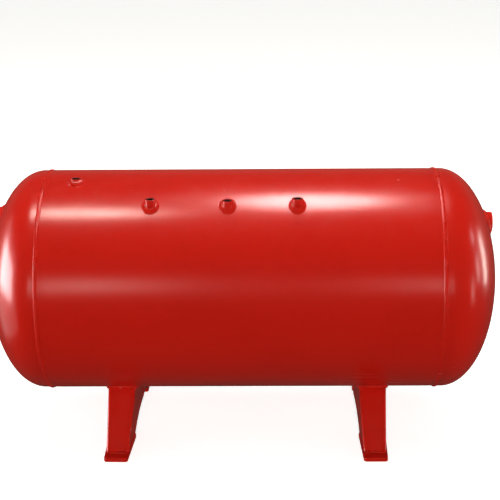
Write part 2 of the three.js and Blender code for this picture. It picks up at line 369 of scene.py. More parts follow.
shellShape = {
    "seamTurn": math.radians(-67.5),  # from the top; minus is towards the back
    "rootGap": 0.003,
    "lengthSteps": 156,
    "roundSteps": 252,
    "hollows": 0.00016,               # how far the rolled plate strays inwards
    "weldPull": 0.00035,              # how far the cooling weld draws the plate in
    "pullReach": 0.011,
    "hollowsAlong": 7.0,              # hollows per metre, and how many go round
    "hollowsRound": 1.9,
    "holeClearance": 0.0003,
}


def roundX(x, turn, reach):
    # a point at a distance from the tank's axis; a turn of 0 is up and a quarter turn is the front
    return Vector((x, -reach * math.sin(turn), axisHeight + reach * math.cos(turn)))


def pulledIn(x):
    distance = abs(abs(x) - abs(seams["right"]))
    return shellShape["weldPull"] * math.exp(-(distance / shellShape["pullReach"]) ** 2)


def shellReach(x, turn):
    around = shellShape["hollowsRound"]
    spot = Vector((x * shellShape["hollowsAlong"], around * math.sin(turn), around * math.cos(turn)))
    stray = 0.5 + 0.5 * noise.noise(spot)
    return radius - shellShape["hollows"] * stray - pulledIn(x)


def snapHoles(points, faces, holes):
    # opens a round hole for each (inside test, move to its edge) pair
    kept = []
    dropped = {}
    for face in faces:
        middle = sum((points[index] for index in face), Vector()) / len(face)
        hole = next((number for number, (within, _) in enumerate(holes) if within(middle)), None)
        if hole is None:
            kept.append(face)
        else:
            for index in face:
                dropped[index] = hole
    for index in {index for face in kept for index in face}:
        if index in dropped:
            points[index] = holes[dropped[index]][1](points[index])
    used = sorted({index for face in kept for index in face})
    renumber = {index: number for number, index in enumerate(used)}
    return [points[index] for index in used], [tuple(renumber[i] for i in face) for face in kept]


def shellHole(node, side):
    low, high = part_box(node)
    middle = (low + high) / 2
    size = (high.x - low.x) / 2 + shellShape["holeClearance"]

    def within(point):
        flat = Vector((point.x - middle.x, point.y - middle.y))
        return flat.length < size and (point.z - axisHeight) * side > 0

    def toEdge(point):
        flat = Vector((point.x - middle.x, point.y - middle.y)).normalized() * size
        y = middle.y + flat.y
        return Vector((middle.x + flat.x, y, axisHeight + side * math.sqrt(radius ** 2 - y ** 2)))

    return within, toEdge


def thicken(piece, depth, sharpAngle=35):
    solid = piece.modifiers.new("plate", "SOLIDIFY")
    solid.thickness = depth
    solid.offset = -1
    solid.use_even_offset = True
    return applyModifiers(piece, sharpAngle)


def buildShell():
    rows = shellShape["lengthSteps"] + 1
    columns = shellShape["roundSteps"] + 1
    gap = shellShape["rootGap"] / radius
    points = []
    for row in range(rows):
        x = shellLow.x + (shellHigh.x - shellLow.x) * row / (rows - 1)
        for column in range(columns):
            turn = shellShape["seamTurn"] + gap / 2 + (2 * math.pi - gap) * column / (columns - 1)
            points.append(roundX(x, turn, shellReach(x, turn)))
    faces = bandFaces(rows, columns, False, False)
    holes = [shellHole(name, 1) for name in uprightSockets]
    holes.append(shellHole("drain_socket", -1))
    points, faces = snapHoles(points, faces, holes)
    piece = addPiece("shellPlate", points, faces, [plateRed], turnFacesOut=False)
    addToFrame(thicken(piece, wall), "shell")


headShape = {
    "flange": 0.012,
    "depth": 0.1125,
    "skirtSteps": 3,
    "dishSteps": 46,
    "roundSteps": 240,
    "hollows": 0.00012,
    "hollowsRate": 9.0,
}


def headX(reach):
    # how far the dished surface stands out from the girth weld at a distance from the axis
    return headShape["flange"] + headShape["depth"] * math.sqrt(max(0, 1 - (reach / radius) ** 2))


def headHole(side, node):
    low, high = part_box(node)
    middle = (low + high) / 2
    size = (high.y - low.y) / 2 + shellShape["holeClearance"]

    def within(point):
        return Vector((point.y - middle.y, point.z - middle.z)).length < size

    def toEdge(point):
        flat = Vector((point.y - middle.y, point.z - middle.z)).normalized() * size
        y, z = middle.y + flat.x, middle.z + flat.y
        reach = math.hypot(y, z - axisHeight)
        return Vector((seams[side] + math.copysign(headX(reach), seams[side]), y, z))

    return within, toEdge


def buildHead(side):
    outward = math.copysign(1, seams[side])
    outline = []
    for step in range(headShape["skirtSteps"]):
        share = step / headShape["skirtSteps"]
        outline.append((radius, shellShape["rootGap"] / 2 * (1 - share) + headShape["flange"] * share))
    for step in range(headShape["dishSteps"]):
        turn = math.pi / 2 * step / headShape["dishSteps"]
        along = headShape["flange"] + headShape["depth"] * math.sin(turn)
        outline.append((radius * math.cos(turn), along))
    columns = headShape["roundSteps"]
    points = []
    for reach, along in outline:
        x = seams[side] + outward * along
        for column in range(columns):
            turn = 2 * math.pi * column / columns
            place = roundX(x, turn, reach)
            stray = (0.5 + 0.5 * noise.noise(place * headShape["hollowsRate"])) * headShape["hollows"]
            points.append(roundX(x, turn, reach - stray - pulledIn(x)))
    tipX = seams[side] + outward * (headShape["flange"] + headShape["depth"])
    points.append(Vector((tipX, 0, axisHeight)))
    faces = bandFaces(len(outline), columns, False, True)
    faces += tipFaces(len(outline) - 1, columns, len(points) - 1)
    points, faces = snapHoles(points, faces, [headHole(side, side + "_end_socket")])
    if outward < 0:
        faces = [face[::-1] for face in faces]
    piece = addPiece(side + "Head", points, faces, [plateRed], turnFacesOut=False)
    addToFrame(thicken(piece, wall), side + "_head")


# what all weld beads share; a swing is (share, changes per metre)
bead = {
    "pitch": 0.0036,        # one ripple
    "ripple": 0.00026,      # how high a ripple stands
    "samples": 5,           # stations along one ripple
    "bulge": 0.0007,        # how far a fillet's face swells out
    "sink": 0.0004,         # how far a bead's edge lies in the plate
    "acrossSteps": 8,
    "trail": 0.45,          # how far a ripple's edges trail behind its middle, in ripples
    "drift": (0.6, 30),     # how far ripples stray along the bead, in ripples
    "rippleSwing": (0.3, 55),
    "widthSwing": (0.06, 38),
    "heightSwing": (0.16, 24),
    "bulgeSwing": (0.35, 45),
    "toeSwing": (0.12, 60),
    "topSwing": (0.10, 60),
    "crowding": 0.85,       # under 1 draws the points of a cap towards its edges
    "roundness": 2.4,       # 2 is a round cap, and more is flatter
    "capTaper": 3.0,        # how many ripples the open end of a cap takes to rise
    "filletTaper": 1.5,
    "endWidth": 0.6,        # a cap's width at its open end
    "rippleFade": 1.2,
    "sharpAngle": 60,
}


def swing(kind, arc, seed):
    # a slow change along a weld, to both sides of 0
    share, rate = bead[kind]
    return share * wander(arc * rate, seed)


def uneven(kind, arc, seed):
    # a factor of up to 1 that changes slowly along a weld
    return 1 - bead[kind][0] + swing(kind, arc, seed)


def endTaper(number, count, ripples):
    # how full an open bead is at a station near one of its ends
    end = min(1.0, (min(number, count - 1 - number) + 1) / (ripples * bead["samples"]))
    return math.sqrt(end * (2 - end))


def rippleHeight(arc, across, seed):
    # crescents that trail back at both edges, uneven along the way
    phase = arc / bead["pitch"] + bead["trail"] * across * across + swing("drift", arc, seed)
    swell = uneven("rippleSwing", arc, seed + 3)
    return bead["ripple"] * swell * math.sin(2 * math.pi * phase) * (1 - across * across)


def capBead(name, node, stations, width, height, closed, rootDepth, rootHalf, seed):
    # stations: (point on the plate, direction across the bead, direction out of the plate, arc length)
    steps = bead["acrossSteps"]
    rings = []
    count = len(stations)
    for number, (middle, across, outward, arc) in enumerate(stations):
        wide = width / 2 * uneven("widthSwing", arc, seed + 1)
        tall = height * uneven("heightSwing", arc, seed + 2)
        if not closed:
            taper = endTaper(number, count, bead["capTaper"])
            tall *= taper
            wide *= bead["endWidth"] + (1 - bead["endWidth"]) * taper
        fade = min(1, tall / height * bead["rippleFade"])
        ring = []
        for step in range(steps + 1):
            share = 2 * step / steps - 1
            share = math.copysign(abs(share) ** bead["crowding"], share)
            rise = tall * (1 - abs(share) ** bead["roundness"]) + rippleHeight(arc, share, seed) * fade
            if step in (0, steps):
                rise = -bead["sink"]
            ring.append(middle + across * (wide * share) + outward * rise)
        ring.append(middle + across * rootHalf - outward * bead["sink"])
        ring.append(middle + across * rootHalf - outward * rootDepth)
        ring.append(middle - across * rootHalf - outward * rootDepth)
        ring.append(middle - across * rootHalf - outward * bead["sink"])
        rings.append(ring)
    points, faces = sweep(rings, closed)
    return addToFrame(addPiece(name, points, faces, [weldRed], bead["sharpAngle"]), node)


def filletBead(name, node, stations, closed, seed):
    # stations: (toe on one plate, toe on the other, the corner between them)
    steps = bead["acrossSteps"]
    rings = []
    arc = 0.0
    count = len(stations)
    for number, (first, second, corner) in enumerate(stations):
        middle = (first + second) / 2
        if number:
            before = stations[number - 1]
            arc += (middle - (before[0] + before[1]) / 2).length
        outward = (middle - corner).normalized()
        swell = bead["bulge"] * (1 + swing("bulgeSwing", arc, seed + 1))
        first = first + (first - corner) * swing("toeSwing", arc, seed + 4)
        second = second + (second - corner) * swing("topSwing", arc, seed + 5)
        tall = 1.0 if closed else endTaper(number, count, bead["filletTaper"])
        ring = []
        for step in range(steps + 1):
            share = step / steps
            across = 2 * share - 1
            rise = swell * 4 * share * (1 - share) + rippleHeight(arc, across, seed)
            point = first.lerp(second, share) + outward * rise
            ring.append(corner.lerp(point, tall))
        inwards = outward * bead["sink"]
        ring[0] = ring[0] - inwards
        ring[-1] = ring[-1] - inwards
        ring.append(corner - inwards)
        rings.append(ring)
    points, faces = sweep(rings, closed)
    return addToFrame(addPiece(name, points, faces, [weldRed], bead["sharpAngle"]), node)


def beadSteps(length):
    return max(12, round(length / bead["pitch"] * bead["samples"]))


girthWeld = {"width": 0.0090, "height": 0.00195}
longWeld = {"width": 0.008, "height": 0.0015}


def buildGirthWeld(side, seed):
    steps = beadSteps(2 * math.pi * radius)
    stations = []
    for step in range(steps):
        turn = 2 * math.pi * step / steps
        point = roundX(seams[side], turn, radius)
        outward = (point - Vector((seams[side], 0, axisHeight))).normalized()
        # the bead starts and stops at the top, where its ripples meet out of step
        stations.append((point, Vector((1, 0, 0)), outward, radius * turn))
    capBead(side + "GirthBead", side + "_girth_weld", stations, girthWeld["width"], girthWeld["height"],
            True, wall, shellShape["rootGap"] / 2, seed)


def buildLongWeld():
    low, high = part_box("long_seam_weld")
    steps = beadSteps(high.x - low.x)
    turn = shellShape["seamTurn"]
    outward = Vector((0, -math.sin(turn), math.cos(turn)))
    across = Vector((0, math.cos(turn), math.sin(turn)))
    stations = []
    for step in range(steps + 1):
        x = low.x + (high.x - low.x) * step / steps
        stations.append((roundX(x, turn, radius), across, outward, x - low.x))
    capBead("longSeamBead", "long_seam_weld", stations, longWeld["width"], longWeld["height"],
            False, wall, shellShape["rootGap"] / 2, 5)


# bore: the tapping size; thread: the diameter at the roots of the thread
threeEighths = {
    "bore": 0.0152, "thread": 0.01666, "pitch": 0.001337, "weldLeg": 0.007,
    "outerChamfer": 0.0006, "backChamfer": 0.0006, "boreChamfer": 0.001,
}
oneInch = {
    "bore": 0.0303, "thread": 0.03325, "pitch": 0.002309, "weldLeg": 0.0055,
    "outerChamfer": 0.0006, "backChamfer": 0.0006, "boreChamfer": 0.001,
}
socketMesh = {
    "roundSteps": 56,
    "rowsPerThread": 8,
    "weldBelowMouth": 0.0008,
    "rim": [(0, 1.3), (0.25, 0.55), (1, 0.06), (1.3, 0)],  # shares of the chamfer: inwards and down
    "mouthFlat": 0.0004,
    "mouthDrop": 0.00005,
    "flankSteepness": 1.25,
    "crestFlat": 0.125,
    "sharpAngle": 50,
}
uprightSockets = ["service_socket", "gauge_socket", "switch_socket", "relief_socket"]


def threadReach(shape, turn, z):
    # the 55 degree thread of a pipe socket, with rounded roots and crests
    phase = (z / shape["pitch"] - turn / (2 * math.pi)) % 1.0
    slope = socketMesh["flankSteepness"] * (1 - abs(2 * phase - 1))
    height = min(1.0, max(0.0, slope - socketMesh["crestFlat"]))
    depth = (shape["thread"] - shape["bore"]) / 2
    return shape["bore"] / 2 + depth * height * height * (3 - 2 * height)


def socketPoints(shape, outer, length):
    # a socket with its mouth at z = 0 and its body below, as rows of points round +Z
    wide = outer / 2
    bevel = shape["outerChamfer"]
    back = shape["backChamfer"]
    rows = [(wide - back, -length), (wide, -length + back), (wide, -length / 2)]
    rows += [(wide - bevel * inwards, -bevel * down) for inwards, down in socketMesh["rim"]]
    mouth = shape["bore"] / 2 + shape["boreChamfer"]
    rows += [(mouth + socketMesh["mouthFlat"], 0), (mouth, -socketMesh["mouthDrop"])]
    columns = socketMesh["roundSteps"]
    points = []
    for reach, z in rows:
        for column in range(columns):
            turn = 2 * math.pi * column / columns
            points.append(Vector((reach * math.cos(turn), reach * math.sin(turn), z)))
    plainRows = len(rows)
    threadRows = round(length / shape["pitch"] * socketMesh["rowsPerThread"])
    for row in range(1, threadRows + 1):
        z = -length * row / threadRows
        for column in range(columns):
            turn = 2 * math.pi * column / columns
            reach = max(threadReach(shape, turn, z), mouth + z)
            points.append(Vector((reach * math.cos(turn), reach * math.sin(turn), z)))
    total = plainRows + threadRows
    faces = bandFaces(total, columns, True, True)
    finish = [1 if plainRows <= index // columns < total - 1 else 0 for index in range(len(faces))]
    return points, faces, finish


def buildSocket(name, node, shape, outer, length, placing):
    points, faces, finish = socketPoints(shape, outer, length)
    points = [placing @ point for point in points]
    piece = addPiece(name, points, faces, [plateRed, threadSteel], socketMesh["sharpAngle"], finish)
    return addToFrame(piece, node)


def socketWeldStations(shape, reach, surface, outward, limit):
    # surface(u, v) is the point of the wall under the offsets u and v from the socket's axis
    steps = beadSteps(2 * math.pi * (reach + shape["weldLeg"] / 2))
    stations = []
    for step in range(steps):
        turn = 2 * math.pi * step / steps
        u, v = math.cos(turn), math.sin(turn)
        corner = surface(reach * u, reach * v)
        wide = reach + shape["weldLeg"]
        toe = surface(wide * u, wide * v)
        room = limit - corner.dot(outward)
        top = corner + outward * min(shape["weldLeg"], room)
        stations.append((toe, top, corner))
    return stations


def buildUprightSocket(node, side, seed):
    low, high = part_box(node)
    middle = (low + high) / 2
    mouthZ = high.z if side > 0 else low.z
    outward = Vector((0, 0, side))
    placing = Matrix.Translation((middle.x, middle.y, mouthZ))
    if side < 0:
        placing = placing @ Matrix.Rotation(math.pi, 4, "X")
    placing = placing @ Matrix.Rotation(seed * 1.3, 4, "Z")  # each thread starts at its own turn
    title = node.replace("_s", "S")
    buildSocket(title, node, threeEighths, high.x - low.x, high.z - low.z, placing)

    def surface(u, v):
        y = middle.y + v
        return Vector((middle.x + u, y, axisHeight + side * math.sqrt(radius ** 2 - y ** 2)))

    limit = side * mouthZ - socketMesh["weldBelowMouth"]
    stations = socketWeldStations(threeEighths, (high.x - low.x) / 2, surface, outward, limit)
    filletBead(title + "Bead", node + "_weld", stations, True, seed)


def buildEndSocket(side, seed):
    node = side + "_end_socket"
    low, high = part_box(node)
    middle = (low + high) / 2
    sign = math.copysign(1, seams[side])
    mouthX = high.x if sign > 0 else low.x
    outward = Vector((sign, 0, 0))
    placing = Matrix.Translation((mouthX, middle.y, middle.z))
    placing = placing @ Matrix.Rotation(sign * math.pi / 2, 4, "Y")
    buildSocket(side + "EndSocket", node, oneInch, high.z - low.z, high.x - low.x, placing)

    def surface(u, v):
        y, z = middle.y + u, middle.z + v
        return Vector((seams[side] + sign * headX(math.hypot(y, z - axisHeight)), y, z))

    limit = abs(mouthX) - socketMesh["weldBelowMouth"]
    stations = socketWeldStations(oneInch, (high.z - low.z) / 2, surface, outward, limit)
    filletBead(side + "EndSocketBead", node + "_weld", stations, True, seed)


legShape = {
    "plate": 0.004,
    "topWidth": 0.056,
    "footWidth": 0.045,
    "splay": math.radians(45),
    "footLength": 0.086,
    "flare": 0.004,         # how far the webs stand wider at the middle than at the face
    "webDepth": 0.045,      # depth of the webs under the middle of the belly
    "bend": 0.0065,         # outside radius of the folds
    "clearance": 0.0003,
    "topCut": 0.00225,      # the folds stop this far short of the point where the face meets the belly
    "leastBend": 0.0004,
    "leastWeb": 0.0002,
    "weldStop": 0.001,      # the weld under the belly stops this far short of the middle
    "toeStop": 0.0005,
    "archSteps": 14,
    "middleSteps": 8,
    "bellySteps": 12,
    "webSteps": 12,
    "bendSteps": 5,
    "faceSteps": 8,
    "weldLeg": 0.005,
    "soleWeldLeg": 0.003,
    "edgeRound": 0.0005,
    "edgeAngle": 50,
    "sharpAngle": 40,
}
soleShape = {
    "margin": 0.0015,
    "corner": 0.006,
    "bevel": 0.0008,
    "hole": 0.012,
    "holeFromToe": 0.072,
    "cornerSteps": 6,
    "holeSteps": 40,
    "mergeDistance": 1e-6,
    "sharpAngle": 40,
}
joinWeld = {"width": 0.006, "height": 0.0015, "rootDepth": 0.001, "rootHalf": 0.001}

askew = {"left": math.radians(-1.5), "right": 0}  # how far each support is turned about the vertical

legLow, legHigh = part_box("right_front_leg")
legTopZ = legHigh.z
legFootZ = legLow.z
legFootY = legLow.y
legTopY = legFootY + (legTopZ - legFootZ) * math.tan(legShape["splay"])
archCrownZ = axisHeight - radius - legShape["webDepth"]
archHalf = -legFootY - legShape["footLength"]
archRise = archCrownZ - legFootZ
archRadius = (archHalf ** 2 + archRise ** 2) / (2 * archRise)


def legFaceY(z):
    return legTopY - (legTopZ - z) * math.tan(legShape["splay"])


def legHalfWidth(z, y):
    share = (legTopZ - z) / (legTopZ - legFootZ)
    width = legShape["topWidth"] + (legShape["footWidth"] - legShape["topWidth"]) * share
    return width / 2 - legShape["flare"] / legTopY * (y - legFaceY(z))


def flared(x, y, z):
    # moves a point of the straight outline out to the flared web
    return x - math.copysign(1, x) * legShape["flare"] / legTopY * (y - legFaceY(z)) if x else x


def legRows():
    # (height, y of the web's rear edge) from the foot, up the arch and the middle, along the belly
    rows = []
    archTurn = math.asin(archHalf / archRadius)
    steps = legShape["archSteps"]
    middleY = -legShape["clearance"] / 2
    for step in range(steps + 1):
        turn = archTurn * (1 - step / steps)
        z = archCrownZ - archRadius + archRadius * math.cos(turn)
        rows.append((z, min(middleY, -archRadius * math.sin(turn))))
    room = radius + legShape["clearance"]
    steps = legShape["middleSteps"]
    for step in range(1, steps + 1):
        rows.append((archCrownZ + (axisHeight - room - archCrownZ) * step / steps, middleY))
    topTurn = math.acos((axisHeight - legTopZ + legShape["topCut"]) / room)
    steps = legShape["bellySteps"]
    for step in range(1, steps + 1):
        turn = topTurn * step / steps
        rows.append((axisHeight - room * math.cos(turn), min(middleY, -room * math.sin(turn))))
    return rows


def legOutline(z, rearY, inset):
    # the folded plate's outline at one height, from one rear edge round the face to the other
    half = legHalfWidth(z, legFaceY(z)) - inset
    front = legFaceY(z) + inset / math.cos(legShape["splay"])
    bend = max(legShape["leastBend"], min(legShape["bend"] - inset, (rearY - front) * 0.5))
    front = min(front, rearY - legShape["leastWeb"])
    points = []
    for step in range(legShape["webSteps"]):
        share = step / legShape["webSteps"]
        points.append((-half, rearY + (front + bend - rearY) * share))
    for step in range(legShape["bendSteps"]):
        turn = math.pi / 2 * step / legShape["bendSteps"]
        points.append((-half + bend * (1 - math.cos(turn)), front + bend * (1 - math.sin(turn))))
    for step in range(legShape["faceSteps"] // 2):
        share = step / (legShape["faceSteps"] // 2)
        points.append(((-half + bend) * (1 - share), front))
    points = [(flared(x, y, z), y) for x, y in points]
    mirrored = [(-x, y) for x, y in reversed(points)]
    return points + [(0, front)] + mirrored


def buildLeg(name, node, placing):
    rows = legRows()
    outer = [[Vector((x, y, z)) for x, y in legOutline(z, rearY, 0)] for z, rearY in rows]
    plate = legShape["plate"]
    inner = [[Vector((x, y, z)) for x, y in legOutline(z, rearY, plate)] for z, rearY in rows]
    columns = len(outer[0])
    rings = [skin + inside[::-1] for skin, inside in zip(outer, inner)]
    points, faces = sweep([[placing @ point for point in ring] for ring in rings], False)
    # each end cap becomes a strip of quads between the outer and the inner outline
    faces = faces[:-2]
    width = 2 * columns
    for start in (0, (len(rings) - 1) * width):
        for index in range(columns - 1):
            opposite = start + width - 1 - index
            faces.append((start + index, start + index + 1, opposite - 1, opposite))
    piece = addPiece(name, points, faces, [plateRed])
    edge = piece.modifiers.new("edges", "BEVEL")
    edge.width = legShape["edgeRound"]
    edge.segments = 2
    edge.limit_method = "ANGLE"
    edge.angle_limit = math.radians(legShape["edgeAngle"])
    addToFrame(applyModifiers(piece, legShape["sharpAngle"]), node)


def legPath(z, rearY):
    # (x, y, plan direction out of the leg) along one outline at fine steps
    front = legFaceY(z)
    half = legHalfWidth(z, front)
    bend = legShape["bend"]
    spacing = bead["pitch"] / bead["samples"]
    web = round((rearY - front - bend) / spacing)
    turnSteps = round(math.pi / 2 * bend / spacing)
    path = []
    for step in range(web):
        path.append((-half, rearY + (front + bend - rearY) * step / web, Vector((-1, 0))))
    for step in range(turnSteps):
        turn = math.pi / 2 * step / turnSteps
        out = Vector((-math.cos(turn), -math.sin(turn)))
        path.append((-half + bend + bend * out.x, front + bend + bend * out.y, out))
    face = round((half - bend) / spacing)
    for step in range(face):
        path.append(((-half + bend) * (1 - step / face), front, Vector((0, -1))))
    path = [(flared(x, y, z), y, out) for x, y, out in path]
    mirrored = [(-x, y, Vector((-out.x, out.y))) for x, y, out in reversed(path)]
    return path + [(0, front, Vector((0, -1)))] + mirrored


def buildLegWeld(name, node, placing, seed):
    leg = legShape["weldLeg"]
    room = radius + legShape["clearance"]

    def bellyPoint(x, y):
        point = placing @ Vector((x, y, 0))
        point.z = axisHeight - math.sqrt(room ** 2 - point.y ** 2)
        return point

    stations = []
    for x, y, out in legPath(legTopZ, -legShape["weldStop"]):
        corner = bellyPoint(x, y)
        toe = bellyPoint(x + leg * out.x, min(y + leg * out.y, -legShape["toeStop"]))
        down = Vector((0, -abs(out.y), -1)).normalized() * leg
        stations.append((toe, corner + placing.to_3x3() @ down, corner))
    filletBead(name, node, stations, False, seed)


def buildSoleWeld(name, node, placing, seed):
    # a straight fillet across the foot of the face
    leg = legShape["soleWeldLeg"]
    steps = beadSteps(legShape["footWidth"])
    half = legShape["footWidth"] / 2 - legShape["clearance"]
    up = Vector((0, 1, 1)).normalized() * leg
    stations = []
    for step in range(steps + 1):
        corner = Vector((half * (2 * step / steps - 1), legFootY, legFootZ))
        toe = corner + Vector((0, -leg, 0))
        stations.append((placing @ toe, placing @ (corner + up), placing @ corner))
    filletBead(name, node, stations, False, seed)


def addLoop(curve, loop):
    spline = curve.splines.new("POLY")
    spline.points.add(len(loop) - 1)
    for point, (x, y) in zip(spline.points, loop):
        point.co = (x, y, 0, 1)
    spline.use_cyclic_u = True


def soleOutline(toeY, heelY):
    # as wide as the leg and its margin all the way back, with round corners
    bevel = soleShape["bevel"]
    corner = soleShape["corner"] - bevel
    edge = soleShape["margin"] - bevel
    halves = {y: legHalfWidth(legFootZ, max(y, legFootY)) + edge for y in (toeY, heelY)}
    steps = soleShape["cornerSteps"]
    loop = []
    for side, y, start in ((1, heelY, 0), (-1, heelY, 90), (-1, toeY, 180), (1, toeY, 270)):
        middleX = side * (halves[y] - corner)
        middleY = y + (corner + bevel) * (1 if y == toeY else -1)
        for step in range(steps + 1):
            turn = math.radians(start + 90 * step / steps)
            loop.append((middleX + corner * math.cos(turn), middleY + corner * math.sin(turn)))
    return loop


def buildSole(name, node, placing):
    low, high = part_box("right_front_sole")
    bevel = soleShape["bevel"]
    curve = bpy.data.curves.new(name, "CURVE")
    curve.dimensions = "2D"
    curve.fill_mode = "BOTH"
    addLoop(curve, soleOutline(low.y, high.y))
    holeY = low.y + soleShape["holeFromToe"]
    holeRadius = soleShape["hole"] / 2 + bevel
    turns = [2 * math.pi * step / soleShape["holeSteps"] for step in range(soleShape["holeSteps"])]
    addLoop(curve, [(holeRadius * math.cos(turn), holeY + holeRadius * math.sin(turn)) for turn in turns])
    curve.extrude = (high.z - low.z) / 2 - bevel
    curve.bevel_depth = bevel
    curve.bevel_resolution = 2
    drawn = bpy.data.objects.new(name + "Outline", curve)
    mesh = bpy.data.meshes.new_from_object(drawn)
    bpy.data.objects.remove(drawn)
    mesh.name = name
    mesh.transform(placing @ Matrix.Translation((0, 0, (low.z + high.z) / 2)))
    shape = bmesh.new()
    shape.from_mesh(mesh)
    bmesh.ops.remove_doubles(shape, verts=shape.verts, dist=soleShape["mergeDistance"])
    bmesh.ops.recalc_face_normals(shape, faces=shape.faces)
    shape.to_mesh(mesh)
    shape.free()
    mesh.materials.clear()
    mesh.materials.append(plateRed)
    mesh.polygons.foreach_set("material_index", [0] * len(mesh.polygons))
    finishMesh(mesh, soleShape["sharpAngle"])
    piece = bpy.data.objects.new(name, mesh)
    bpy.context.scene.collection.objects.link(piece)
    addToFrame(piece, node)


def buildJoinWeld(name, node, placing, sign, seed):
    low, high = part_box(node)
    steps = beadSteps(high.z - low.z)
    across = placing.to_3x3() @ Vector((0, 1, 0))
    outward = placing.to_3x3() @ Vector((sign, 0, 0))
    stations = []
    for step in range(steps + 1):
        z = high.z + (low.z - high.z) * step / steps
        point = placing @ Vector((sign * legHalfWidth(z, 0), 0, z))
        stations.append((point, across, outward, high.z - z))
    capBead(name, node, stations, joinWeld["width"], joinWeld["height"], False,
            joinWeld["rootDepth"], joinWeld["rootHalf"], seed)


def buildSupport(side, seed):
    joints = [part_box(f"{side}_{where}_join_weld") for where in ("left", "right")]
    supportX = (joints[0][0].x + joints[1][1].x) / 2
    middle = Matrix.Translation((supportX, 0, 0)) @ Matrix.Rotation(askew[side], 4, "Z")
    for end, turn in (("front", 0), ("rear", math.pi)):
        placing = middle @ Matrix.Rotation(turn, 4, "Z")
        title = side + end.capitalize()
        node = f"{side}_{end}"
        buildLeg(title + "Leg", node + "_leg", placing)
        buildLegWeld(title + "LegBead", node + "_leg_weld", placing, seed + turn)
        buildSoleWeld(title + "SoleBead", node + "_sole_weld", placing, seed + turn + 1)
        buildSole(title + "Sole", node + "_sole", placing)
    buildJoinWeld(side + "LeftJoinBead", side + "_left_join_weld", middle, -1, seed + 7)
    buildJoinWeld(side + "RightJoinBead", side + "_right_join_weld", middle, 1, seed + 9)


# the last number of each call is the seed of its weld's unevenness
buildShell()
for number, side in enumerate(seams):
    buildHead(side)
    buildGirthWeld(side, 11 + number)
    buildEndSocket(side, 21 + number)
    buildSupport(side, 31 + 10 * number)
    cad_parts[side + "_backing_ring"].data.materials.clear()
    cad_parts[side + "_backing_ring"].data.materials.append(millSteel)
buildLongWeld()
print("plates and welds built")
for number, node in enumerate(uprightSockets):
    buildUprightSocket(node, 1, 51 + number)
buildUprightSocket("drain_socket", -1, 57)
print("sockets built")


camera = {
    "eye": (0.0577, -2.5271, 1.219),
    "turnLeft": 0.95,
    "lookDown": 18.57,
    "roll": -0.56,
    "lens": 93.05,
    "sensor": 36,
}


def placeCamera():
    data = bpy.data.cameras.new("camera")
    data.lens = camera["lens"]
    data.sensor_width = camera["sensor"]
    made = bpy.data.objects.new("camera", data)
    bpy.context.scene.collection.objects.link(made)
    turned = Matrix.Rotation(math.radians(camera["turnLeft"]), 4, "Z")
    tilted = Matrix.Rotation(math.radians(90 - camera["lookDown"]), 4, "X")
    rolled = Matrix.Rotation(math.radians(camera["roll"]), 4, "Z")
    made.matrix_world = Matrix.Translation(camera["eye"]) @ turned @ tilted @ rolled
    bpy.context.scene.camera = made


